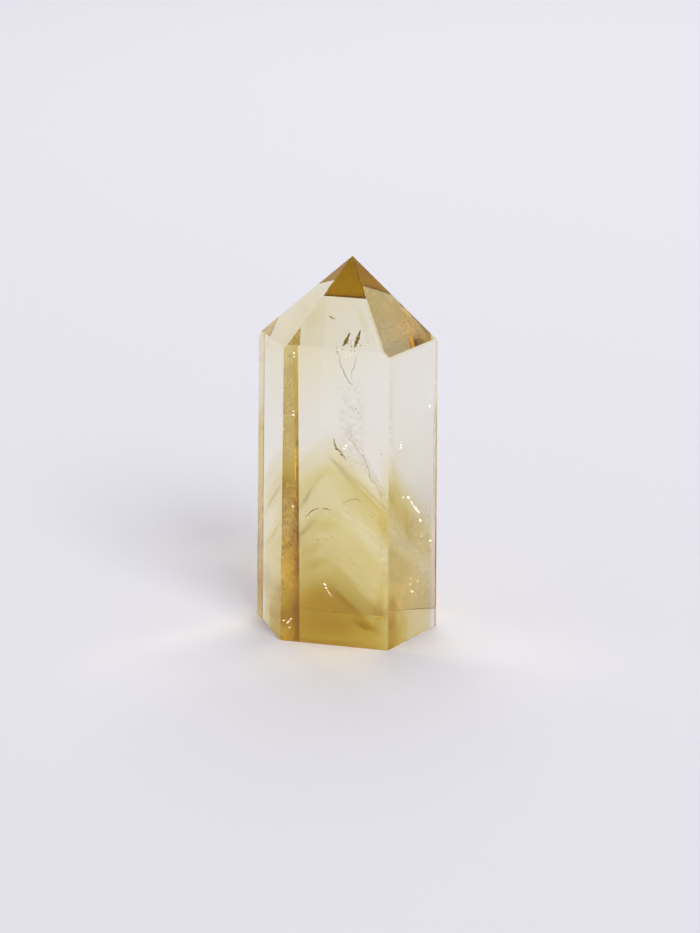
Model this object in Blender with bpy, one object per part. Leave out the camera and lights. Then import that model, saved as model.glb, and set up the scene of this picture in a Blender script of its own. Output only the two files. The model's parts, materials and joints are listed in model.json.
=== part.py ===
"""A citrine crystal point: one piece of yellow quartz, cut and polished as a six-sided prism with a
six-sided pyramid, standing upright on its flat sawn base.

Metres, +Z up. The front is -Y. Directions round the crystal are in degrees from it, anticlockwise when
seen from above, so that 90 looks along +X. The origin is in the base, at the middle of the bounding box.
"""
from math import cos, radians, sin, tan
from typing import NamedTuple

import bmesh
import bpy
from mathutils import Matrix, Vector

MM = 0.001

HEIGHT = 75.0 * MM          # from the base to the point, before the edges are softened
EDGE_FLAT = 0.10 * MM       # width of the narrow flat polished along every edge
BLANK_WIDTH = 60.0 * MM     # the rough block that the crystal is ground from
CUT_TOLERANCE = 1e-8        # how near a vertex must be to a cut to count as lying on it

CITRINE = (0.86, 0.72, 0.34, 1.0)
CITRINE_ROUGHNESS = 0.03
QUARTZ_IOR = 1.544


class Side(NamedTuple):
    """One face of the prism, and the pyramid face that closes the crystal above it."""
    name: str
    direction: float        # where the prism face looks
    reach: float            # from the upright line through the point to the foot of the face
    draft: float            # how far the face leans in towards the top
    top_direction: float    # where the pyramid face looks
    top_pitch: float        # how steep the pyramid face is, from level


SIDES = (
    Side("front", direction=-13.0, reach=11.55 * MM, draft=0.7, top_direction=-12.5, top_pitch=53.8),
    Side("front_right", direction=49.5, reach=13.80 * MM, draft=0.5, top_direction=48.5, top_pitch=49.8),
    Side("back_right", direction=112.5, reach=14.35 * MM, draft=0.2, top_direction=112.5, top_pitch=48.8),
    Side("back", direction=166.5, reach=12.85 * MM, draft=0.6, top_direction=166.5, top_pitch=49.6),
    Side("back_left", direction=226.5, reach=16.65 * MM, draft=0.5, top_direction=226.0, top_pitch=46.7),
    Side("front_left", direction=291.5, reach=16.35 * MM, draft=1.4, top_direction=289.5, top_pitch=45.9),
)


def outward(direction, rise):
    """The unit vector that looks in a direction round the crystal and rises above level, in degrees."""
    around = radians(direction)
    up = radians(rise)
    return Vector((sin(around) * cos(up), -cos(around) * cos(up), sin(up)))


def prism_plane(side):
    """A point on a prism face and its outward normal."""
    foot = outward(side.direction, 0.0) * side.reach
    return foot, outward(side.direction, side.draft)


def pyramid_plane(side):
    """A point on a pyramid face and its outward normal: every pyramid face passes through the point."""
    tip = Vector((0.0, 0.0, HEIGHT))
    return tip, outward(side.top_direction, 90.0 - side.top_pitch)


def grind(bm, point, normal):
    """Grind the stone down to a plane, and close it with the flat face that this leaves."""
    geometry = bm.verts[:] + bm.edges[:] + bm.faces[:]
    cut = bmesh.ops.bisect_plane(
        bm, geom=geometry, dist=CUT_TOLERANCE, plane_co=point, plane_no=normal, clear_outer=True)
    rim = [item for item in cut["geom_cut"] if isinstance(item, bmesh.types.BMEdge)]
    if rim:
        bmesh.ops.edgeloop_fill(bm, edges=rim)
        bmesh.ops.recalc_face_normals(bm, faces=bm.faces)


def edge_flat_planes(bm):
    """The planes of the narrow flats along the edges, each square to the bisector of its two faces."""
    planes = []
    for edge in bm.edges:
        first, second = (face.normal for face in edge.link_faces)
        normal = (first + second).normalized()
        depth = EDGE_FLAT / 2.0 * tan(first.angle(second) / 2.0)
        middle = (edge.verts[0].co + edge.verts[1].co) / 2.0
        planes.append((middle - normal * depth, normal))
    return planes


def centre_on_base(bm):
    """Move the stone so that the middle of its bounding box's underside is the origin."""
    xs = [vert.co.x for vert in bm.verts]
    ys = [vert.co.y for vert in bm.verts]
    zs = [vert.co.z for vert in bm.verts]
    middle = Vector(((min(xs) + max(xs)) / 2.0, (min(ys) + max(ys)) / 2.0, min(zs)))
    bmesh.ops.translate(bm, vec=-middle, verts=bm.verts)


def crystal_mesh():
    """The crystal, ground from a block that stands on the sawn base."""
    bm = bmesh.new()
    blank_size = Vector((BLANK_WIDTH, BLANK_WIDTH, 2.0 * HEIGHT))
    blank = Matrix.LocRotScale(Vector((0.0, 0.0, HEIGHT)), None, blank_size)
    bmesh.ops.create_cube(bm, size=1.0, matrix=blank)
    for side in SIDES:
        grind(bm, *prism_plane(side))
    for side in SIDES:
        grind(bm, *pyramid_plane(side))
    for point, normal in edge_flat_planes(bm):
        grind(bm, point, normal)
    centre_on_base(bm)
    mesh = bpy.data.meshes.new("crystal_point")
    bm.to_mesh(mesh)
    bm.free()
    return mesh


def citrine_material():
    """Clear yellow quartz with a polished surface."""
    material = bpy.data.materials.new("polished_citrine")
    material.use_nodes = True
    shader = material.node_tree.nodes["Principled BSDF"]
    shader.inputs["Base Color"].default_value = CITRINE
    shader.inputs["Metallic"].default_value = 0.0
    shader.inputs["Roughness"].default_value = CITRINE_ROUGHNESS
    shader.inputs["IOR"].default_value = QUARTZ_IOR
    shader.inputs["Transmission Weight"].default_value = 1.0
    return material


def main():
    for old in list(bpy.data.objects):
        bpy.data.objects.remove(old)
    mesh = crystal_mesh()
    mesh.materials.append(citrine_material())
    crystal = bpy.data.objects.new("crystal_point", mesh)
    bpy.context.collection.objects.link(crystal)


main()
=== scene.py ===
# %% [markdown]
# # A citrine crystal point
#
# Citrine is quartz that a trace of iron has coloured yellow. This one was cut from a natural crystal into
# a six-sided prism with a six-sided pyramid, and every face was ground flat and polished. What the eye
# enjoys is inside: bands of gold that were laid down while the crystal grew, cloudy veils, and small healed
# cracks.
#
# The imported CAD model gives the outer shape. This lesson adds what light needs: an exact glass-like
# surface, coloured volumes for the bands, and thin bodies for the veils and cracks.

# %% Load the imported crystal
import json
import random
from math import atan2, cos, degrees, exp, pi, radians, sin

import bmesh
import bpy
from mathutils import Matrix, Vector, noise

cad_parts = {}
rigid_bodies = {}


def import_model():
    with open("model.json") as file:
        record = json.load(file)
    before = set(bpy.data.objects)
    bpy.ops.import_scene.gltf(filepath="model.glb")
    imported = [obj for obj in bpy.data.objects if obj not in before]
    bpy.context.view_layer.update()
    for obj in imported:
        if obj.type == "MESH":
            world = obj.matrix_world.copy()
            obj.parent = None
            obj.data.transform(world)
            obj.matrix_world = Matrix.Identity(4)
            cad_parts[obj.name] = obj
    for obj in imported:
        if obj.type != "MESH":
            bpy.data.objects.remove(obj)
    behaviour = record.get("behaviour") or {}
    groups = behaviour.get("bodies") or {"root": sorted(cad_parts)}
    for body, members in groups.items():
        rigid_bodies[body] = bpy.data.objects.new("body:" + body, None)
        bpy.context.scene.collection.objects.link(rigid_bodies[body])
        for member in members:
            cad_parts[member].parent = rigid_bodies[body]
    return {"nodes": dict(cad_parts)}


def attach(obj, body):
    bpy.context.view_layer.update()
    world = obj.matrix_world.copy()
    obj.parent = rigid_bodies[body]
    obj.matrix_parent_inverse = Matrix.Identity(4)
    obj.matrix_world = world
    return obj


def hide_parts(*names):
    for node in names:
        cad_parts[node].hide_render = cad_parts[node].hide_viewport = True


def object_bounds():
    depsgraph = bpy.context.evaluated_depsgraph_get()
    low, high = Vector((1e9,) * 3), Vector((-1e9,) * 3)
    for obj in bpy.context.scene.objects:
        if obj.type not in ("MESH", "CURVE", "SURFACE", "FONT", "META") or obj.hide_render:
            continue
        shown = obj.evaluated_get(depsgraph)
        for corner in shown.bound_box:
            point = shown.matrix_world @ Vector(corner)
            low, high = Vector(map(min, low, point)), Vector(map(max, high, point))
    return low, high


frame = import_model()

bpy.context.view_layer.update()
cad_low, cad_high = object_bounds()
print("CAD box, mm:", [round(size * 1000.0, 2) for size in cad_high - cad_low])

# %% [markdown]
# ## Helpers
#
# Blender works in metres, so a millimetre gets a name. Colours are written as the hex values that a colour
# picker shows, and one function turns them into the linear values that light is counted in. Two more
# functions add a shader node and turn a finished mesh into an object, so that what follows reads as a short
# list.

# %% Millimetres, colours and nodes
MM = 0.001
SRGB_TOE = 0.04045          # below this, sRGB is a straight line

scene = bpy.context.scene


def linear(hex_colour, alpha=1.0):
    """The linear colour of an sRGB hex value such as EEDE00."""
    values = [int(hex_colour[i:i + 2], 16) / 255.0 for i in (0, 2, 4)]
    curve = [v / 12.92 if v <= SRGB_TOE else ((v + 0.055) / 1.055) ** 2.4 for v in values]
    return (*curve, alpha)


def add_node(tree, kind, attributes=None, inputs=None, links=None):
    """Add a node, set its attributes and input values, and link sockets of other nodes into it."""
    added = tree.nodes.new(kind)
    for name, value in (attributes or {}).items():
        setattr(added, name, value)
    for name, value in (inputs or {}).items():
        added.inputs[name].default_value = value
    for name, source in (links or {}).items():
        tree.links.new(source, added.inputs[name])
    return added


def new_material(name):
    """A material with its node tree, its Principled shader and its output node."""
    material = bpy.data.materials.new(name)
    material.use_nodes = True
    nodes = material.node_tree.nodes
    return material, material.node_tree, nodes["Principled BSDF"], nodes["Material Output"]


def object_from(bm, name):
    """Turn finished mesh data into an object in the scene."""
    mesh = bpy.data.meshes.new(name)
    bm.to_mesh(mesh)
    bm.free()
    made = bpy.data.objects.new(name, mesh)
    scene.collection.objects.link(made)
    return made


def count_of(start):
    """How many objects have a name that starts like this."""
    return sum(item.name.startswith(start) for item in scene.objects)


print("hex EEDE00 in linear light:", [round(v, 3) for v in linear("EEDE00")])

# %% [markdown]
# ## Camera
#
# A small stone is best seen with a long lens from a little above: the uprights stay nearly parallel, and
# the top faces open up. The camera is placed from the point of the crystal, because that is the sharpest
# mark on it, and it looks straight along +Y with a downward pitch.

# %% The camera
CAMERA_LENS = 86.96                                     # mm
CAMERA_SENSOR = 36.0                                    # mm
CAMERA_PITCH = 21.228                                   # degrees below level
CAMERA_ROLL = -0.09                                     # degrees
CAMERA_FROM_TIP = Vector((-0.54, -405.16, 0.0)) * MM    # level distance from the point of the crystal
CAMERA_HEIGHT = 190.28 * MM
TIP_DEPTH = 0.1 * MM                                    # vertices this near to the top make up the point

cad_verts = frame["nodes"]["crystal_point"].data.vertices
top_verts = [vert.co for vert in cad_verts if vert.co.z > cad_high.z - TIP_DEPTH]
tip = sum(top_verts, Vector()) / len(top_verts)
camera_data = bpy.data.cameras.new("camera")
camera_data.lens = CAMERA_LENS
camera_data.sensor_width = CAMERA_SENSOR
camera_data.sensor_fit = "AUTO"
camera = bpy.data.objects.new("camera", camera_data)
camera.location = (tip.x + CAMERA_FROM_TIP.x, tip.y + CAMERA_FROM_TIP.y, CAMERA_HEIGHT)
tilt = Matrix.Rotation(radians(90.0 - CAMERA_PITCH), 4, "X")
camera.rotation_euler = (tilt @ Matrix.Rotation(radians(CAMERA_ROLL), 4, "Z")).to_euler()
scene.collection.objects.link(camera)
scene.camera = camera
print("camera to crystal, mm:", round((camera.location - tip).length / MM))

# %% [markdown]
# ## Light paths and tones
#
# A ray that enters a polished prism can bounce inside it ten times before it finds a way out, and every
# coloured volume it crosses on the way counts as a bounce too. The limits are therefore set far above
# Blender's defaults: a ray that is stopped early comes back black. The Standard view transform keeps pale
# tones pale, as in a plain product picture.

# %% Bounce limits
GLASS_BOUNCES = 512
MATT_BOUNCES = 4
ALPHA_BOUNCES = 64          # passes through the see-through parts of a film

scene.view_settings.view_transform = "Standard"
scene.cycles.max_bounces = GLASS_BOUNCES
scene.cycles.transmission_bounces = GLASS_BOUNCES
scene.cycles.glossy_bounces = GLASS_BOUNCES
scene.cycles.diffuse_bounces = MATT_BOUNCES
scene.cycles.transparent_max_bounces = ALPHA_BOUNCES
scene.cycles.blur_glossy = 0.0
print("bounces allowed:", scene.cycles.max_bounces)

# %% [markdown]
# ## Studio light
#
# Glass is made of what it reflects and refracts, so it wants a large, calm surrounding. White walls around
# the stone light it from all sides, and they also show wherever a ray leaves it. The ceiling straight above
# is dark, so that the top faces don't mirror a white sheet over the gold. A colour ramp on the height of
# the direction paints walls and ceiling.

# %% World
STUDIO_WHITE = "E7E4EF"     # a cool white: daylight in a white room
WALLS = (                   # degrees above level, brightness
    (0.0, 0.90),
    (30.0, 0.90),
    (50.0, 0.30),
    (65.0, 0.30),
    (75.0, 0.08),
    (90.0, 0.08),
)

world = bpy.data.worlds.new("studio")
scene.world = world
world.use_nodes = True
sky = world.node_tree.nodes["Background"]
look = add_node(world.node_tree, "ShaderNodeTexCoord")
height = add_node(world.node_tree, "ShaderNodeSeparateXYZ", links={"Vector": look.outputs["Generated"]})
ramp = add_node(world.node_tree, "ShaderNodeValToRGB", links={"Fac": height.outputs["Z"]})
stops = ramp.color_ramp.elements
while len(stops) < len(WALLS):
    stops.new(1.0)
for stop, (elevation, brightness) in zip(stops, WALLS):
    stop.position = sin(radians(elevation))
    stop.color = tuple(brightness * part for part in linear(STUDIO_WHITE)[:3]) + (1.0,)
world.node_tree.links.new(ramp.outputs["Color"], sky.inputs["Color"])
print("brightest and darkest wall:", max(w[1] for w in WALLS), min(w[1] for w in WALLS))

# %% [markdown]
# ## Floor and lamps
#
# The stone stands on matt white card. A broad lamp at the front right gives it a soft shadow, and a smaller
# one behind lifts the far side of the floor. Both are round soft boxes, far enough away to stay gentle.

# %% Floor and lamps
FLOOR_WHITE = "EEEDF1"      # matt white card
FLOOR_RADIUS = 4.0          # metres
FLOOR_SIDES = 96
FLOOR_DROP = 0.02 * MM      # the floor lies a hair below the base, so that the two never share a plane

floor_material, floor_tree, floor_shader, _ = new_material("matt_white_card")
floor_shader.inputs["Base Color"].default_value = linear(FLOOR_WHITE)
floor_shader.inputs["Roughness"].default_value = 0.9
floor_shader.inputs["Specular IOR Level"].default_value = 0.1
bm = bmesh.new()
bmesh.ops.create_circle(bm, cap_ends=True, segments=FLOOR_SIDES, radius=FLOOR_RADIUS)
floor = object_from(bm, "floor")
floor.data.materials.append(floor_material)
floor.location.z = -FLOOR_DROP


def softbox(name, direction, height, distance, size, power):
    """A round soft lamp that faces the crystal: direction and height are angles, in degrees."""
    around = radians(direction)
    up = radians(height)
    away = Vector((sin(around) * cos(up), -cos(around) * cos(up), sin(up)))
    data = bpy.data.lights.new(name, "AREA")
    data.shape = "DISK"
    data.size = size
    data.energy = power
    lamp = bpy.data.objects.new(name, data)
    lamp.location = away * distance + Vector((0.0, 0.0, cad_high.z / 2.0))
    lamp.rotation_euler = away.to_track_quat("Z", "Y").to_euler()
    scene.collection.objects.link(lamp)
    return lamp


FRONT_POWER = 72.0          # watts
BACK_POWER = 5.0
softbox("front_softbox", direction=32.0, height=42.0, distance=4.0, size=1.9, power=FRONT_POWER)
softbox("back_softbox", direction=174.0, height=55.0, distance=1.25, size=1.0, power=BACK_POWER)

# %% [markdown]
# ## The polished outside
#
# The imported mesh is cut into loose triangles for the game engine. A ray that crosses a clear body must meet
# one closed skin, so the triangles are welded into flat faces in a new mesh, and this new piece stands in
# for the CAD node. Flat shading keeps every face a true plane. The narrow flats along the edges stay: they
# are the thin lines of light that make a cut edge look real.

# %% Weld the facets
WELD = 1e-7                 # metres
FLAT_ANGLE = radians(0.05)  # triangles that agree this well belong to one face
MAIN_FACE_AREA = 30e-6      # square metres: larger than any flat along an edge

bm = bmesh.new()
bm.from_mesh(frame["nodes"]["crystal_point"].data)
bmesh.ops.remove_doubles(bm, verts=bm.verts, dist=WELD)
bmesh.ops.dissolve_limit(bm, angle_limit=FLAT_ANGLE, verts=bm.verts, edges=bm.edges)
main_faces = [face for face in bm.faces if face.calc_area() > MAIN_FACE_AREA]
planes = [(face.normal.copy(), face.normal.dot(face.calc_center_median())) for face in main_faces]
open_edges = sum(not edge.is_manifold for edge in bm.edges)
crystal = object_from(bm, "crystal")
crystal.data.shade_flat()
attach(crystal, "root")
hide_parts("crystal_point")
print("faces:", len(crystal.data.polygons), "of which large:", len(planes), "open edges:", open_edges)

# %% [markdown]
# ## Clear quartz, ground and polished
#
# Quartz bends light with an IOR of 1.544 to 1.553, a little more than window glass. The surface is polished
# to a mirror, so the roughness is zero. A bump of less than a thousandth of a millimetre, spread over
# several millimetres, gives the slight sway that a hand-held polish leaves.
#
# The colour does not sit on the surface. It builds up along the ray, so it belongs to a Volume Absorption
# node. Iron takes out blue most, green a quarter as much and red least. A number near 0 means that a
# millimetre of quartz hardly dims blue light, and at 1 only about a third of it is left.

# %% Material: polished quartz
QUARTZ_IOR = 1.546
IRON_YELLOW = "EEDE00"      # blue is absorbed fully, green a quarter as much, red least
CLEAR_STAIN = 0.0085        # blue absorbed per mm in the clearest quartz
POLISH_WAVE = 6.0 * MM      # from crest to crest
POLISH_DEPTH = 0.0004 * MM
LONG_WAY = 30.0             # mm, about once through the prism


def stain(tree, output, blue_per_mm):
    """Fill a body with the yellow of iron in quartz."""
    volume = add_node(tree, "ShaderNodeVolumeAbsorption",
                      inputs={"Color": linear(IRON_YELLOW), "Density": blue_per_mm / MM})
    tree.links.new(volume.outputs["Volume"], output.inputs["Volume"])


def clear_material(name, ior, blue_per_mm):
    """A clear, smooth body that bends light by its IOR and stains it on the way."""
    material, tree, shader, output = new_material(name)
    shader.inputs["Base Color"].default_value = (1.0, 1.0, 1.0, 1.0)
    shader.inputs["Roughness"].default_value = 0.0
    shader.inputs["IOR"].default_value = ior
    shader.inputs["Transmission Weight"].default_value = 1.0
    stain(tree, output, blue_per_mm)
    return material, tree, shader


quartz, tree, shader = clear_material("polished_clear_quartz", QUARTZ_IOR, CLEAR_STAIN)
place = add_node(tree, "ShaderNodeTexCoord")
wave = add_node(tree, "ShaderNodeTexNoise", inputs={"Scale": 1.0 / POLISH_WAVE, "Detail": 1.0},
                links={"Vector": place.outputs["Object"]})
polish = add_node(tree, "ShaderNodeBump", inputs={"Distance": POLISH_DEPTH},
                  links={"Height": wave.outputs["Fac"]})
tree.links.new(polish.outputs["Normal"], shader.inputs["Normal"])
crystal.data.materials.append(quartz)
print("blue left after one pass through clear quartz:", round(exp(-CLEAR_STAIN * LONG_WAY), 2))

# %% [markdown]
# ## Cutting bodies with planes
#
# Crystals grow face by face, so every zone of colour inside has flat sides that run along the outer
# faces. A zone is cut in the same way as the stone: start from a block, slice it with each plane, and close
# the cut. Zones have an IOR of 1, which means that they only stain the light and never bend it.

# %% Stained bodies
BLOCK = 200.0 * MM          # the block that every zone is cut from
CUT_TOLERANCE = 1e-8        # metres
NO_BENDING = 1.0            # the IOR of a zone beside the quartz around it


def cut_body(name, cutting_planes):
    """The block that is left inside all the planes, as an object; a plane is (normal, distance)."""
    bm = bmesh.new()
    bmesh.ops.create_cube(bm, size=BLOCK)
    for normal, distance in cutting_planes:
        cut = bmesh.ops.bisect_plane(
            bm, geom=bm.verts[:] + bm.edges[:] + bm.faces[:], dist=CUT_TOLERANCE,
            plane_co=normal * distance, plane_no=normal, clear_outer=True)
        rim = [item for item in cut["geom_cut"] if isinstance(item, bmesh.types.BMEdge)]
        if rim:
            bmesh.ops.edgeloop_fill(bm, edges=rim)
    bmesh.ops.recalc_face_normals(bm, faces=bm.faces)
    return object_from(bm, name)


def dress(piece, material):
    """Give a piece its material, and let it move with the crystal."""
    piece.data.materials.clear()
    piece.data.materials.append(material)
    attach(piece, "root")
    return piece


stain_materials = {}


def stained_quartz(blue_per_mm):
    """Quartz that only stains the light, one material for each strength."""
    if blue_per_mm not in stain_materials:
        name = f"iron_stained_quartz_{round(blue_per_mm * 10000):04d}"
        stain_materials[blue_per_mm], _, _ = clear_material(name, NO_BENDING, blue_per_mm)
    return stain_materials[blue_per_mm]


UPRIGHT = 0.1               # a prism face's normal rises or falls less than this
prism = [plane for plane in planes if abs(plane[0].z) < UPRIGHT]
pyramid = [plane for plane in planes if plane[0].z > UPRIGHT]
base = next(plane for plane in planes if plane[0].z < -UPRIGHT)
print("prism faces:", len(prism), "pyramid faces:", len(pyramid))

# %% [markdown]
# ## Growth bands
#
# While the crystal grew, its point stood lower and further back, and the colour of each layer recorded the
# water around it. A phantom is the outline of the crystal at one such moment: the pyramid faces lie deeper,
# and the prism faces a little way in. Depths differ from side to side, because the saw did not follow the
# natural faces exactly. Nested phantoms add up, so the gold gets deeper step by step towards the base. The
# oldest of them grew when the crystal was slimmer, and lie further in from the faces at the back.

# %% Phantoms
PHANTOM_DEPTH = {"front": 12.6, "front_right": 19.1, "back_right": 24.4,
                 "back": 22.6, "back_left": 20.1, "front_left": 19.1}     # mm below each pyramid face
PHANTOM_INSET = {"front": 2.7, "front_right": 0.8, "back_right": 1.1,
                 "back": 2.6, "back_left": 1.8, "front_left": 3.6}        # mm behind each prism face
SIDE_DIRECTION = {"front": -13.0, "front_right": 49.5, "back_right": 112.5,
                  "back": 166.5, "back_left": 226.5, "front_left": 291.5}  # degrees
SKIN = 0.15                 # mm of clear quartz that always stays outside a phantom
SHRINK = 0.03               # mm that a phantom's sides draw in for each mm of age
LIFT = 0.01                 # mm that its underside rises for each mm of age
DEEP_AGE = 17.0             # older phantoms than this lie further in from the faces at the back
DEEP_INSET = {"back_left": 3.0, "back": 8.0, "back_right": 6.0, "front_right": 0.6}    # mm more
REACH = 5.0                 # mm that a cutter stands out beyond the prism


def side_of(normal):
    """The name of the side that a face looks towards."""
    direction = degrees(atan2(normal.x, -normal.y))

    def turn_to(side):
        return abs((direction - SIDE_DIRECTION[side] + 180.0) % 360.0 - 180.0)

    return min(SIDE_DIRECTION, key=turn_to)


def phantom_planes(age, cutter=False):
    """The planes of the crystal as it was, age in mm of growth ago; a cutter has only its roof there."""
    found = []
    for normal, distance in prism:
        side = side_of(normal)
        inset = PHANTOM_INSET[side] + SKIN + SHRINK * age
        if age > DEEP_AGE:
            inset += DEEP_INSET.get(side, 0.0)
        found.append((normal, distance + (REACH if cutter else -inset) * MM))
    for normal, distance in pyramid:
        found.append((normal, distance - (PHANTOM_DEPTH[side_of(normal)] + age) * MM))
    normal, distance = base
    lift = SKIN + LIFT * age
    found.append((normal, distance + (REACH if cutter else -lift) * MM))
    return found


def roof_layer(name, young, old):
    """A layer of the crystal between two ages, shaped like a roof."""
    layer = cut_body(name, phantom_planes(young))
    cutter = cut_body(name + "_cutter", phantom_planes(old, cutter=True))
    hollow = layer.modifiers.new("hollow", "BOOLEAN")
    hollow.object = cutter
    hollow.operation = "DIFFERENCE"
    depsgraph = bpy.context.evaluated_depsgraph_get()
    finished = bpy.data.meshes.new_from_object(layer.evaluated_get(depsgraph))
    layer.modifiers.clear()
    layer.data = finished
    bpy.data.objects.remove(cutter)
    return layer


PHANTOMS = (                # age in mm, blue absorbed per mm
    (-0.4, 0.004), (0.2, 0.006), (1.1, 0.012), (2.9, 0.006),
    (10.0, 0.014), (10.6, 0.014), (17.6, 0.020), (18.3, 0.040),
    (20.0, 0.034), (20.7, 0.056), (21.6, 0.084), (24.5, 0.080),
)
BANDS = (                   # from, to, blue absorbed per mm
    (3.3, 8.1, 0.004), (3.8, 7.7, 0.006), (4.2, 6.2, 0.012),
    (4.5, 4.9, 0.038), (1.3, 1.6, 0.019), (12.0, 12.3, 0.024), (8.8, 9.1, 0.010),
)
for age, blue in PHANTOMS:
    dress(cut_body(f"phantom_{age + 1.0:04.1f}", phantom_planes(age)), stained_quartz(blue))
for young, old, blue in BANDS:
    dress(roof_layer(f"band_{young:04.1f}_{old:04.1f}", young, old), stained_quartz(blue))
print("phantoms:", len(PHANTOMS), "bands:", len(BANDS))

# %% [markdown]
# ## Fine layers
#
# Some growth spells left one thin, darker layer under a single pyramid face. Seen edge-on, such a layer is
# a fine slanting line. It is the phantom of its age, cut off again a little deeper under that face alone.

# %% Layers under one pyramid face
LAYERS = {                  # age in mm, thickness in mm, blue absorbed per mm
    "back_left": ((2.0, 0.7, 0.030), (6.2, 0.6, 0.065), (11.3, 0.7, 0.075), (13.8, 0.6, 0.057),
                  (16.0, 0.8, 0.040)),
    "back_right": ((2.7, 1.1, 0.034), (5.6, 0.7, 0.044), (7.4, 0.5, 0.027), (18.4, 0.9, 0.025),
                   (21.2, 0.9, 0.040)),
}
for side, layers in LAYERS.items():
    normal, distance = next(plane for plane in pyramid if side_of(plane[0]) == side)
    for order, (age, thickness, blue) in enumerate(layers):
        underside = (PHANTOM_DEPTH[side] + age + thickness) * MM
        layer_planes = phantom_planes(age) + [(-normal, -(distance - underside))]
        dress(cut_body(f"layer_{side}_{order}", layer_planes), stained_quartz(blue))
print("fine layers:", {side: len(layers) for side, layers in LAYERS.items()})

# %% [markdown]
# ## The gold skin
#
# Under the front right face of the pyramid, the last film of growth is rich in iron. It is only a third of
# a millimetre thick, and as strong as many millimetres of the quartz below it. A second, fainter film lies
# under the first. Each is the whole crystal a little smaller, cut off under that face alone.

# %% Thin stained slabs under the front right pyramid face
GOLD_SKIN = (               # from, to in mm under the face, blue absorbed per mm
    (0.05, 0.35, 0.90), (0.40, 0.70, 0.15),
)


def slab_under(side, start, end):
    """The planes of a slab under one pyramid face, from start to end in mm below it."""
    normal, distance = next(plane for plane in pyramid if side_of(plane[0]) == side)
    slab = [(outward, reach - start * MM) for outward, reach in planes]
    return slab + [(-normal, -(distance - end * MM))]


for order, (start, end, blue) in enumerate(GOLD_SKIN):
    dress(cut_body(f"gold_skin_{order}", slab_under("front_right", start, end)), stained_quartz(blue))
print("gold skin, mm:", round(GOLD_SKIN[0][1] - GOLD_SKIN[0][0], 2))

# %% [markdown]
# ## The pale cap
#
# The last growth under the front left of the pyramid is faintly straw-coloured. Three overlapping slabs
# under that face fade it out instead of ending it in a line. Each starts a hair deeper than the one before,
# so that no two share a face.

# %% Slabs under the front left pyramid face
CAP_SLABS = (               # from, to in mm under the face, blue absorbed per mm
    (0.06, 4.5, 0.006), (0.08, 9.0, 0.006), (0.10, 13.5, 0.010),
)
for order, (start, end, blue) in enumerate(CAP_SLABS):
    dress(cut_body(f"cap_slab_{order}", slab_under("front_left", start, end)), stained_quartz(blue))
print("cap slabs:", len(CAP_SLABS))

# %% [markdown]
# ## Clouds of stain
#
# Between the flat bands, the iron also gathered in soft clouds and streaks. Each one is a ball that is
# stretched, flattened and roughened with noise, and a second, smaller one inside it makes its edge fade. A
# guard keeps every point under the polished faces, because a stain can't stand out of the stone.

# %% A function for clouds
COVER = 0.3                 # mm of quartz that stays over anything inside
CORE_COVER = 0.4            # the same, over the inner cloud
CORE = 0.6                  # size of the inner cloud beside the outer one
BALL_DIVISIONS = 4
CLOUD_BUMPS = 5.0           # how many bumps the noise puts across a ball of size 1


def keep_inside(point, margin=COVER * MM):
    """Move a point back under the polished faces where it comes too near to one."""
    for normal, distance in planes:
        over = normal.dot(point) - (distance - margin)
        if over > 0.0:
            point = point - normal * over
    return point


def axes_of(along, thin):
    """Three square axes, as columns: along, sideways and thin."""
    first = Vector(along).normalized()
    third = (Vector(thin) - first * first.dot(Vector(thin))).normalized()
    return Matrix((first, third.cross(first), third)).transposed()


def cloud(name, centre, along, thin, size, blue, ragged=0.35):
    """Two nested clouds of stain; size is length, depth and thickness in mm."""
    axes = axes_of(along, thin)
    for order, (scale, cover) in enumerate(((1.0, COVER), (CORE, CORE_COVER))):
        bm = bmesh.new()
        bmesh.ops.create_icosphere(bm, subdivisions=BALL_DIVISIONS, radius=0.5)
        for vert in bm.verts:
            swell = scale * (1.0 + ragged * noise.noise(vert.co * CLOUD_BUMPS + Vector(centre)))
            local = Vector(part * full for part, full in zip(vert.co * swell, size))
            vert.co = keep_inside((Vector(centre) + axes @ local) * MM, cover * MM)
        dress(object_from(bm, f"{name}_{order}"), stained_quartz(blue))


print("quartz over a cloud and over its core, mm:", COVER, CORE_COVER)

# %% Clouds near the point
cloud("cloud_shoulder_left", (-5.0, 0.3, 62.2), (3.7, 1.0, 4.4), (-0.7, 0.0, 0.6), (7.0, 5.0, 2.4), 0.022)
cloud("cloud_shoulder_right", (3.8, -1.0, 61.2), (3.6, -3.6, -7.3), (0.9, 0.0, 0.45), (9.5, 4.0, 1.7),
      0.035)
cloud("cloud_top_right", (7.6, -4.2, 64.6), (4.3, 2.9, -0.8), (0.5, -0.5, 0.7), (9.0, 5.0, 1.4), 0.080)
cloud("cloud_top_edge", (13.2, -3.4, 60.9), (1.0, -1.5, -1.0), (0.5, -0.5, 0.7), (5.0, 2.6, 1.2), 0.200)
print("clouds and their cores:", count_of("cloud"))

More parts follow.
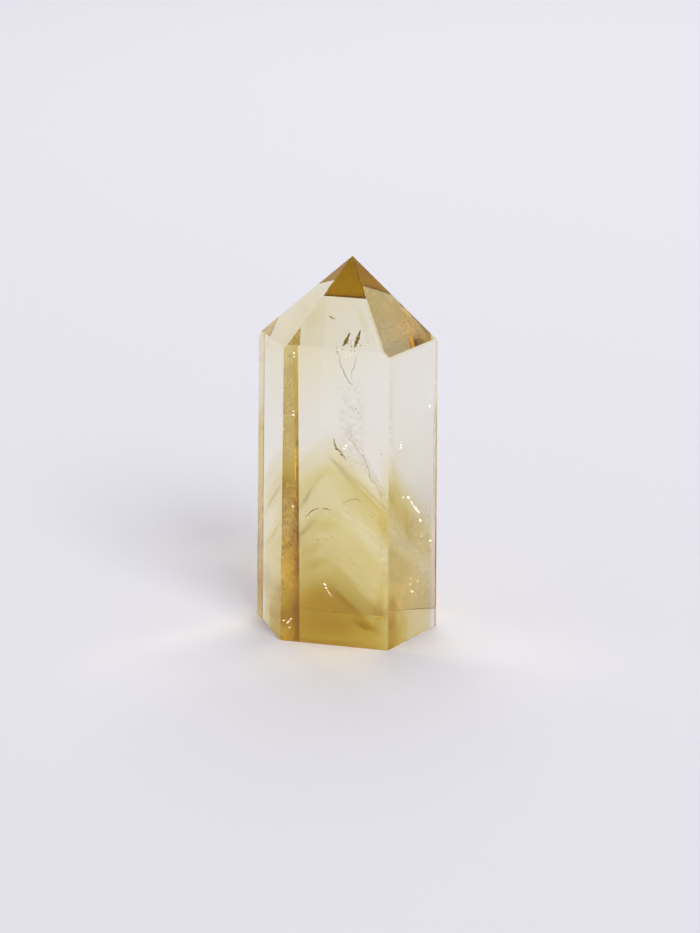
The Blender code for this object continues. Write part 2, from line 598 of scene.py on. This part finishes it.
# %% Clouds along the growth roof
cloud("cloud_roof_right", (4.4, -0.9, 29.6), (8.8, -2.1, -8.5), (0.69, 0.0, 0.72), (14.0, 6.0, 1.9), 0.024)
cloud("cloud_roof_thin", (5.4, -4.8, 28.6), (5.5, -1.3, -5.4), (0.69, 0.0, 0.72), (8.0, 3.0, 0.9), 0.095)
cloud("cloud_roof_left", (-3.4, -0.4, 33.0), (-0.8, 0.1, -0.6), (-0.6, 0.0, 0.8), (9.0, 6.0, 2.2), 0.028)
cloud("cloud_middle", (-3.6, -1.6, 22.6), (1.0, -0.3, 0.1), (0.0, 0.0, 1.0), (8.0, 5.0, 3.4), 0.045)
cloud("cloud_middle_low", (-6.2, -2.4, 17.4), (0.8, -0.2, 0.6), (-0.4, 0.0, 0.9), (7.0, 4.0, 2.0), 0.068)
cloud("cloud_side", (8.6, -1.6, 22.0), (0.2, 0.0, -1.0), (0.9, 0.4, 0.0), (10.0, 6.0, 2.6), 0.060)
cloud("cloud_side_edge", (8.0, -8.7, 32.0), (0.0, 0.0, 1.0), (0.76, -0.65, 0.0), (16.0, 3.5, 1.4), 0.100)
print("clouds and their cores:", count_of("cloud"))

# %% Clouds near the base
cloud("cloud_low_left", (-5.4, -1.0, 14.0), (0.9, -0.2, 0.4), (-0.4, 0.0, 0.9), (6.5, 5.0, 2.4), 0.085)
cloud("cloud_low_right", (0.6, -3.0, 12.6), (0.7, -0.2, -0.7), (0.6, 0.0, 0.8), (8.0, 3.0, 1.2), 0.045)
cloud("cloud_floor_left", (-4.5, -2.5, 7.6), (1.0, -0.3, 0.0), (0.0, 0.0, 1.0), (11.0, 8.0, 4.2), 0.025)
cloud("cloud_corner_left", (-12.6, -2.6, 2.8), (0.3, -0.95, 0.1), (0.9, 0.3, 0.0), (10.0, 4.6, 3.0), 0.200)
cloud("cloud_base", (-3.5, -8.2, 1.9), (1.0, -0.2, 0.0), (0.0, 0.0, 1.0), (17.0, 6.0, 1.7), 0.080)
cloud("cloud_vein", (1.8, -4.6, 6.2), (7.6, -5.5, -6.5), (0.6, 0.0, 0.8), (10.5, 3.0, 1.1), 0.220,
      ragged=0.7)
cloud("cloud_floor", (3.8, -7.0, 3.2), (1.0, -0.3, -0.4), (0.3, 0.0, 0.9), (5.0, 4.0, 1.6), 0.280,
      ragged=0.8)
cloud("cloud_column", (7.0, -7.6, 6.4), (0.1, -0.1, 1.0), (0.8, 0.6, 0.0), (11.0, 4.0, 2.0), 0.170)
print("clouds and their cores:", count_of("cloud"))

# %% [markdown]
# ## Healed cracks
#
# A crack that healed while the crystal was still growing leaves a veil: a wavy sheet of tiny bubbles and
# iron specks, patchy and half see-through. A sheet is a fine grid between four corners, waved with noise.
# Its material is a matt film whose alpha comes from one noise for the patches and a fade towards the rim.
#
# The veils in the middle are pale. Those close under the back faces and the point are cream or gold, and
# they are seen mostly as mirror images, where they light up a narrow strip of the stone.

# %% How much a film covers
FILM_OPENING = (0.45, 0.65)     # noise below the first value leaves a gap, above the second it covers fully
FILM_RIM = 0.34                 # from here to 0.5, the edge of the sheet, a film fades out


def film_alpha(tree, place, patches, cover, gaps, rim):
    """The socket that says how much of a film there is: patches with gaps, fading towards the rim."""
    centred = add_node(tree, "ShaderNodeVectorMath", {"operation": "SUBTRACT"}, {1: (0.5, 0.5, 0.0)},
                       {0: place.outputs["UV"]})
    offset = add_node(tree, "ShaderNodeVectorMath", {"operation": "ABSOLUTE"},
                      links={0: centred.outputs["Vector"]})
    sides = add_node(tree, "ShaderNodeSeparateXYZ", links={"Vector": offset.outputs["Vector"]})
    edge = add_node(tree, "ShaderNodeMath", {"operation": "MAXIMUM"},
                    links={0: sides.outputs["X"], 1: sides.outputs["Y"]})
    fade = add_node(tree, "ShaderNodeMapRange", inputs={"From Min": 0.5, "From Max": rim, "To Max": 1.0},
                    links={"Value": edge.outputs["Value"]})
    film = add_node(tree, "ShaderNodeMapRange",
                    inputs={"From Min": gaps[0], "From Max": gaps[1], "To Max": cover},
                    links={"Value": patches.outputs["Fac"]})
    alpha = add_node(tree, "ShaderNodeMath", {"operation": "MULTIPLY"},
                     links={0: fade.outputs["Result"], 1: film.outputs["Result"]})
    return alpha.outputs["Value"]


print("a film fades over the outer", round(0.5 - FILM_RIM, 2), "of its width")

# %% Material: the film of a healed crack
FILM_ROUGHNESS = 0.6
FILM_STRETCH = 6.0          # how much longer than wide a patch is, where the film has a grain
FILM_GRIT = 0.01 * MM       # height of the specks
DULL = 0.1                  # specular level of a matt film


def healed_crack(name, light, dark, cover, patch, along=None, gaps=FILM_OPENING, rim=FILM_RIM):
    """A matt film: two colours, how much it hides, patch size in mm, and the way its grain runs.

    gaps are the two noise values between which a gap closes, and rim is where its edge starts to fade.
    """
    material, tree, shader, _ = new_material(name)
    place = add_node(tree, "ShaderNodeTexCoord")
    turn = axes_of(along, (0.0, -1.0, 0.0)).to_euler() if along else (0.0, 0.0, 0.0)
    stretch = FILM_STRETCH if along else 1.0
    grain = add_node(tree, "ShaderNodeMapping", {"vector_type": "TEXTURE"},
                     {"Rotation": turn, "Scale": (patch * stretch * MM, patch * MM, patch * MM)},
                     {"Vector": place.outputs["Object"]})
    patches = add_node(tree, "ShaderNodeTexNoise", inputs={"Scale": 1.0, "Detail": 5.0, "Roughness": 0.65},
                       links={"Vector": grain.outputs["Vector"]})
    specks = add_node(tree, "ShaderNodeTexNoise", inputs={"Scale": 4.0, "Detail": 3.0},
                      links={"Vector": grain.outputs["Vector"]})
    # a Mix node that is set to colours takes them at inputs 6 and 7, and gives the result at output 2
    colour = add_node(tree, "ShaderNodeMix", {"data_type": "RGBA"}, {6: linear(light), 7: linear(dark)},
                      {"Factor": specks.outputs["Fac"]})
    grit = add_node(tree, "ShaderNodeBump", inputs={"Distance": FILM_GRIT},
                    links={"Height": specks.outputs["Fac"]})
    tree.links.new(colour.outputs[2], shader.inputs["Base Color"])
    tree.links.new(film_alpha(tree, place, patches, cover, gaps, rim), shader.inputs["Alpha"])
    tree.links.new(grit.outputs["Normal"], shader.inputs["Normal"])
    shader.inputs["Roughness"].default_value = FILM_ROUGHNESS
    shader.inputs["Specular IOR Level"].default_value = DULL
    return material


# %% The films of this stone
ROOF_RIGHT = (0.75, -0.19, -0.64)       # the way down the growth roof on the right
milky_film = healed_crack("milky_healed_crack", "FBF9F2", "F1EBDA", 0.22, 1.4, along=ROOF_RIGHT,
                          gaps=(0.4, 0.7))
cream_film = healed_crack("cream_healed_crack", "FFFBF0", "F3E3B4", 0.60, 3.0, gaps=(0.3, 0.6), rim=0.28)
rosy_film = healed_crack("rosy_healed_crack", "F2E8E4", "C9B3AA", 0.22, 1.0, gaps=(0.35, 0.7))
haze_film = healed_crack("gold_haze", "FFF3D2", "F4DDA2", 0.55, 6.0, gaps=(0.1, 0.7))
gold_film = healed_crack("iron_stained_crack", "FFF8E2", "F5E6B6", 0.80, 4.0, gaps=(0.1, 0.6))
tip_film = healed_crack("gold_film_under_the_tip", "FADE32", "E2BE1C", 0.55, 9.0, gaps=(0.0, 0.4),
                        rim=0.42)
lacy_film = healed_crack("lacy_crack", "DCC98E", "9A8238", 0.35, 0.22)
films = (milky_film, cream_film, rosy_film, haze_film, gold_film, tip_film, lacy_film)
print("films:", [film.name for film in films])

# %% Sheets between four corners
SHEET_CELLS = 32
SHEET_WAVE = 0.35           # mm that the waves rise
SHEET_WAVES_PER_MM = 0.35


def sheet(name, corners, material, wave=SHEET_WAVE):
    """A wavy grid between four corners in mm, given in order round its rim; wave is its height in mm."""
    first, second, third, fourth = (Vector(corner) for corner in corners)
    normal = (second - first).cross(fourth - first).normalized()
    bm = bmesh.new()
    map_layer = bm.loops.layers.uv.new("map")
    rows = []
    for i in range(SHEET_CELLS + 1):
        u = i / SHEET_CELLS
        row = []
        for j in range(SHEET_CELLS + 1):
            v = j / SHEET_CELLS
            flat = first.lerp(second, u).lerp(fourth.lerp(third, u), v)
            lift = wave * noise.noise(flat * SHEET_WAVES_PER_MM)
            row.append(bm.verts.new(keep_inside((flat + normal * lift) * MM)))
        rows.append(row)
    for i in range(SHEET_CELLS):
        for j in range(SHEET_CELLS):
            face = bm.faces.new((rows[i][j], rows[i + 1][j], rows[i + 1][j + 1], rows[i][j + 1]))
            for loop, (du, dv) in zip(face.loops, ((0, 0), (1, 0), (1, 1), (0, 1))):
                loop[map_layer].uv = ((i + du) / SHEET_CELLS, (j + dv) / SHEET_CELLS)
    piece = object_from(bm, name)
    piece.data.shade_smooth()
    return dress(piece, material)


def ribbon(name, start, end, across, width, material):
    """A sheet along a line in mm."""
    half = Vector(across).normalized() * width / 2.0
    start, end = Vector(start), Vector(end)
    return sheet(name, (start - half, end - half, end + half, start + half), material)


print("faces in a sheet:", SHEET_CELLS ** 2)

# %% Films close under the back faces and the point
CALM = 0.2                  # mm: the wave of a film that follows a face
CALMEST = 0.1
sheet("film_back_right",
      ((16.8, -2.6, 22.0), (13.4, 5.7, 22.0), (13.4, 5.7, 50.0), (16.8, -2.6, 50.0)), cream_film, CALM)
sheet("film_back_left",
      ((-14.2, 5.9, 2.0), (-6.8, 13.7, 2.0), (-6.8, 13.7, 28.0), (-14.2, 5.9, 28.0)), cream_film, CALM)
sheet("film_under_top",
      ((6.6, -1.5, 68.0), (9.8, -9.6, 61.0), (16.3, -3.6, 60.4), (12.9, -1.5, 64.2)), gold_film, CALM)
sheet("film_tip",
      ((1.0, -0.6, 74.3), (-3.9, 12.7, 60.9), (5.5, 10.4, 60.9), (1.6, -0.7, 74.3)), tip_film, CALMEST)
sheet("film_top_haze",
      ((3.6, -4.4, 70.0), (7.5, -12.9, 60.3), (16.5, -3.4, 59.9), (9.6, -2.6, 66.4)), haze_film, CALMEST)
print("films under faces:", count_of("film"))

# %% Veils in the middle of the stone
sheet("film_centre",
      ((-0.4, -0.4, 53.0), (4.6, -1.0, 53.0), (5.4, -1.4, 32.5), (-0.8, 0.0, 32.5)), rosy_film)
sheet("film_side_low",
      ((6.5, -7.0, 1.0), (15.0, 2.0, 1.0), (15.0, 2.0, 27.0), (6.5, -6.0, 27.0)), rosy_film)
ACROSS_ROOF = (0.6, -0.14, 0.78)
ribbon("film_pale_upper", (-1.5, -3.2, 27.5), (9.3, -5.9, 18.3), ACROSS_ROOF, 4.6, milky_film)
ribbon("film_pale_lower", (-3.6, -2.7, 19.7), (9.6, -5.9, 4.8), ACROSS_ROOF, 4.6, milky_film)
ribbon("film_lace", (-0.2, -8.0, 45.6), (8.6, -10.2, 28.6), (0.8, -0.1, 0.5), 1.8, lacy_film)
print("films and veils:", count_of("film"))

# %% [markdown]
# ## Threads and sparks
#
# Fine rods of iron mineral and the open rims of small cracks read as dark gold lines. Each is a tube that
# swells in the middle, runs out to a point at both ends, and is pressed flat like a blade of grass. The
# bright points are air films: tiny chips that mirror the lamp.

# %% Material: iron mineral
RUST_STREAK = 0.4 * MM
THREAD_ALPHA = 0.85         # the rods are thin enough to let a little light through

iron_thread, tree, shader, _ = new_material("iron_mineral_thread")
place = add_node(tree, "ShaderNodeTexCoord")
streaks = add_node(tree, "ShaderNodeTexNoise", inputs={"Scale": 1.0 / RUST_STREAK, "Detail": 4.0},
                   links={"Vector": place.outputs["Object"]})
rust = add_node(tree, "ShaderNodeValToRGB", links={"Fac": streaks.outputs["Fac"]})
dark_stop, light_stop = rust.color_ramp.elements
dark_stop.position = 0.35
dark_stop.color = linear("8A6F14")
light_stop.position = 0.7
light_stop.color = linear("C9A844")
tree.links.new(rust.outputs["Color"], shader.inputs["Base Color"])
shader.inputs["Roughness"].default_value = 0.45
shader.inputs["Alpha"].default_value = THREAD_ALPHA
print("iron mineral, streaks per mm:", MM / RUST_STREAK)

# %% Material: an air film
# A film of air in quartz mirrors light like polished metal, a little unevenly.
AIR_RIPPLE = 0.5 * MM
AIR_MIRROR = 0.85           # how much like a metal mirror it is

air_film, tree, shader, _ = new_material("air_film_chip")
place = add_node(tree, "ShaderNodeTexCoord")
ripple = add_node(tree, "ShaderNodeTexNoise", inputs={"Scale": 1.0 / AIR_RIPPLE},
                  links={"Vector": place.outputs["Object"]})
gloss = add_node(tree, "ShaderNodeMapRange", inputs={"To Min": 0.15, "To Max": 0.35},
                 links={"Value": ripple.outputs["Fac"]})
tree.links.new(gloss.outputs["Result"], shader.inputs["Roughness"])
shader.inputs["Base Color"].default_value = linear("FFFAEE")
shader.inputs["Metallic"].default_value = AIR_MIRROR
print("air film, ripples per mm:", MM / AIR_RIPPLE)

# %% How a thread is made
THREAD_STEPS = 28
THREAD_SIDES = 8
FRONT = Vector((-0.1, -0.97, 0.22))     # the way that the flat of a thread looks
WANDER_PER_MM = 1.7                     # how often a thread changes its way
KNOTS_PER_MM = 2.3                      # how often it swells and narrows
KNOT = 0.5                              # how much it swells and narrows
TAPER = 0.6                             # below 1, a thread keeps its width longer before the point


def smooth_path(points, steps):
    """Points along a Catmull-Rom curve, which passes through all the given ones."""
    knots = [Vector(p) for p in points]
    knots = [knots[0] * 2.0 - knots[1], *knots, knots[-1] * 2.0 - knots[-2]]
    spans = len(knots) - 3
    for step in range(steps + 1):
        place = min(step / steps * spans, spans - 1e-6)
        k, t = int(place), place % 1.0
        p0, p1, p2, p3 = knots[k:k + 4]
        yield 0.5 * (2.0 * p1 + (p2 - p0) * t + (2.0 * p0 - 5.0 * p1 + 4.0 * p2 - p3) * t * t
                     + (3.0 * p1 - p0 - 3.0 * p2 + p3) * t ** 3)


def wander(point, wobble):
    """Move a point of a thread sideways and up or down by noise."""
    spot = point * WANDER_PER_MM
    return point + wobble * Vector((noise.noise(spot), 0.0, noise.noise(spot + FRONT * 9.0)))


def thread(name, points, width, wobble=0.0):
    """A pointed tube through points in mm, half as deep as it is wide; wobble is how far it wanders."""
    path = [wander(point, wobble) for point in smooth_path(points, THREAD_STEPS)]
    bm = bmesh.new()
    rings = []
    for i in range(1, THREAD_STEPS):
        way = (path[i + 1] - path[i - 1]).normalized()
        side = way.cross(FRONT).normalized()
        out = side.cross(way)
        swell = sin(pi * i / THREAD_STEPS) ** TAPER * (1.0 + KNOT * noise.noise(path[i] * KNOTS_PER_MM))
        ring = []
        for k in range(THREAD_SIDES):
            angle = 2.0 * pi * k / THREAD_SIDES
            spot = path[i] + side * (width / 2.0 * swell * cos(angle))
            spot = spot + out * (width / 4.0 * swell * sin(angle))
            ring.append(bm.verts.new(keep_inside(spot * MM)))
        rings.append(ring)
    tips = [bm.verts.new(path[0] * MM), bm.verts.new(path[-1] * MM)]
    for k in range(THREAD_SIDES):
        nxt = (k + 1) % THREAD_SIDES
        for low_ring, high_ring in zip(rings, rings[1:]):
            bm.faces.new((low_ring[k], low_ring[nxt], high_ring[nxt], high_ring[k]))
        bm.faces.new((tips[0], rings[0][nxt], rings[0][k]))
        bm.faces.new((tips[1], rings[-1][k], rings[-1][nxt]))
    bmesh.ops.recalc_face_normals(bm, faces=bm.faces)
    piece = object_from(bm, name)
    piece.data.shade_smooth()
    return dress(piece, iron_thread)


print("faces in a thread:", THREAD_SIDES * THREAD_STEPS)

# %% Threads of iron mineral and crack rims
thread("needle", ((-2.7, -3.3, 63.5), (-2.2, -3.6, 63.2), (-1.5, -3.9, 63.0)), 0.22)
thread("flame_left", ((-0.4, -8.6, 59.4), (0.2, -8.3, 60.0), (0.6, -7.9, 60.9), (1.1, -7.4, 61.8)), 0.62)
thread("flame_right", ((1.9, -9.2, 59.3), (2.2, -8.8, 60.1), (2.6, -8.2, 61.1), (3.0, -7.5, 62.3)), 0.70)
thread("loop_left",
       ((-0.9, -9.2, 58.9), (-0.8, -9.2, 57.2), (0.0, -9.4, 55.1), (0.9, -9.6, 53.6), (1.9, -9.9, 52.5)),
       0.12, wobble=0.2)
thread("loop_right", ((2.3, -9.9, 59.0), (2.1, -9.9, 57.4), (1.5, -9.7, 55.4), (1.4, -9.7, 53.9)),
       0.08, wobble=0.2)
thread("root", ((-2.0, -7.8, 42.0), (-1.5, -8.0, 40.1), (-0.5, -8.2, 39.0), (0.4, -8.4, 37.8)),
       0.34, wobble=0.5)
thread("crack_rim",
       ((0.5, -8.4, 44.4), (1.5, -8.7, 41.7), (3.7, -9.2, 38.2), (5.9, -9.8, 33.5), (7.9, -10.3, 29.8)),
       0.09, wobble=0.7)
thread("arch_left", ((-7.5, -7.5, 25.3), (-6.5, -7.7, 26.6), (-5.4, -7.9, 27.4), (-4.6, -8.1, 27.6)),
       0.22, wobble=0.2)
thread("arch_middle", ((-4.4, -8.1, 27.5), (-3.4, -8.4, 27.6), (-2.5, -8.6, 27.4)), 0.18, wobble=0.2)
thread("arch_right", ((-0.4, -9.1, 28.6), (1.1, -9.4, 29.8), (2.4, -9.7, 30.0), (3.4, -9.9, 29.4)),
       0.12, wobble=0.25)
thread("scratch_left", ((-11.6, 2.8, 58.9), (-11.9, 3.2, 57.2), (-12.8, 4.2, 54.2)), 0.10, wobble=0.1)
mesh_pieces = [piece for piece in scene.objects if piece.type == "MESH"]
print("threads:", sum(iron_thread.name in piece.data.materials for piece in mesh_pieces))

# %% How chips and specks are made
CHIP_SIDES = 6
CHIP_WIDTH = 0.7                        # beside its length
CHIP_FLATNESS = 0.03                    # half its thickness beside its length
CHIP_COVER = 0.8                        # mm of quartz over the middle of a chip
TO_LAMP_FRONT = (0.07, -0.94, 0.34)     # half way from lamp to eye, seen through the front face
TO_LAMP_SIDE = (0.47, -0.81, 0.34)      # the same, seen through the front right face
TO_LAMP_TOP = (0.36, -0.72, 0.60)       # the same, seen through the pyramid face above it


def chips(name, places, size, facing, material, spread=0.12, seed=1):
    """Small flat chips at places in mm, joined in one piece; spread is how far they tilt."""
    shuffle = random.Random(seed)
    bm = bmesh.new()
    for spot in places:
        centre = keep_inside(Vector(spot) * MM, CHIP_COVER * MM) / MM
        thin = Vector(facing) + spread * Vector(shuffle.uniform(-1.0, 1.0) for _ in range(3))
        axes = axes_of(thin.cross(Vector((0.0, 0.0, 1.0))), thin)
        reach = size * shuffle.uniform(0.6, 1.3)
        half_thick = axes @ Vector((0.0, 0.0, reach * CHIP_FLATNESS))
        ends = [bm.verts.new((centre + half_thick) * MM), bm.verts.new((centre - half_thick) * MM)]
        rim = []
        for k in range(CHIP_SIDES):
            angle = 2.0 * pi * k / CHIP_SIDES
            length = 0.5 * reach * shuffle.uniform(0.5, 1.2)
            corner = Vector((length * cos(angle), CHIP_WIDTH * length * sin(angle), 0.0))
            rim.append(bm.verts.new((centre + axes @ corner) * MM))
        for k in range(CHIP_SIDES):
            bm.faces.new((ends[0], rim[k], rim[(k + 1) % CHIP_SIDES]))
            bm.faces.new((ends[1], rim[(k + 1) % CHIP_SIDES], rim[k]))
    return dress(object_from(bm, name), material)


def scatter(centre, reach, count, seed):
    """Places around a centre, in mm."""
    shuffle = random.Random(seed)
    return [Vector(centre) + Vector(shuffle.gauss(0.0, part / 2.0) for part in reach) for _ in range(count)]


print("faces in a chip:", 2 * CHIP_SIDES)

# %% Dark specks, and a halo under the flames
HALO = scatter((1.6, -9.0, 59.6), (3.0, 0.8, 1.4), 30, seed=3)
HALO_BRIGHT = 16
SPECKS = [
    (-9.4, -4.0, 55.4), (-12.9, 4.3, 53.8), (2.3, -1.6, 45.9), (2.9, -1.7, 46.4), (3.3, -1.8, 45.6),
    (5.6, -6.1, 25.5), (-5.5, -3.5, 20.1), (-4.7, -3.7, 19.9), (-3.3, -4.0, 20.2), (-2.9, -4.1, 19.9),
    (-2.0, -4.3, 20.7), (7.4, -6.5, 19.4), (7.6, -4.3, 38.0), (-9.8, -0.5, 26.0),
]
chips("halo_bright", HALO[:HALO_BRIGHT], 0.30, TO_LAMP_FRONT, air_film, seed=4)
chips("halo_dark", HALO[HALO_BRIGHT:], 0.32, TO_LAMP_FRONT, iron_thread, spread=0.6, seed=5)
chips("specks_dark", SPECKS, 0.35, TO_LAMP_FRONT, iron_thread, seed=6)
print("halo:", len(HALO), "dark specks:", len(SPECKS))

# %% Sparks
SPARKS_FRONT = [
    (0.3, -9.1, 40.6), (0.1, -9.1, 40.0), (-3.8, -8.4, 11.8), (-3.5, -8.5, 11.2), (-3.2, -8.6, 10.7),
    (-2.9, -8.7, 10.2), (-2.6, -8.8, 9.6), *scatter((-11.0, -7.6, 3.4), (0.9, 0.6, 1.2), 6, seed=7),
]
SPARKS_STRIP = [
    (-9.3, -6.9, 58.2), (-9.3, -6.9, 57.5), (-9.6, -7.4, 46.9), (-9.6, -7.4, 46.2), (-11.4, -7.3, 43.2),
    (-10.6, -7.5, 28.7), (-9.8, -7.6, 27.7),
]
STREAK = [Vector((11.0, -7.4, 29.4)).lerp(Vector((13.3, -5.4, 25.4)), k / 11.0) for k in range(12)]
SPARKS_SIDE = [
    (9.5, -8.8, 40.6), (9.4, -8.9, 40.0), (9.1, -9.2, 39.7), *STREAK,
    (15.3, -3.4, 24.4), (12.3, -1.6, 22.5), (8.5, -3.8, 28.6), (15.8, -3.0, 18.4), (12.7, -1.3, 19.2),
    (15.7, -2.9, 46.5), (15.6, -2.9, 46.1), *scatter((11.5, -2.0, 9.0), (3.0, 2.0, 2.5), 8, seed=10),
]
SPARKS_TOP = [
    (11.7, -4.4, 62.0), (13.6, -2.7, 61.6), (14.1, -2.5, 61.3), (12.8, -5.3, 60.3), (12.1, -2.8, 62.8),
]
chips("sparks_front", SPARKS_FRONT, 0.62, TO_LAMP_FRONT, air_film, seed=8)
chips("sparks_strip", SPARKS_STRIP, 0.55, TO_LAMP_FRONT, air_film, seed=9)
chips("sparks_side", SPARKS_SIDE, 0.60, TO_LAMP_SIDE, air_film, seed=11)
chips("sparks_top", SPARKS_TOP, 0.60, TO_LAMP_TOP, air_film, seed=12)
print("sparks:", len(SPARKS_FRONT) + len(SPARKS_STRIP) + len(SPARKS_SIDE) + len(SPARKS_TOP))
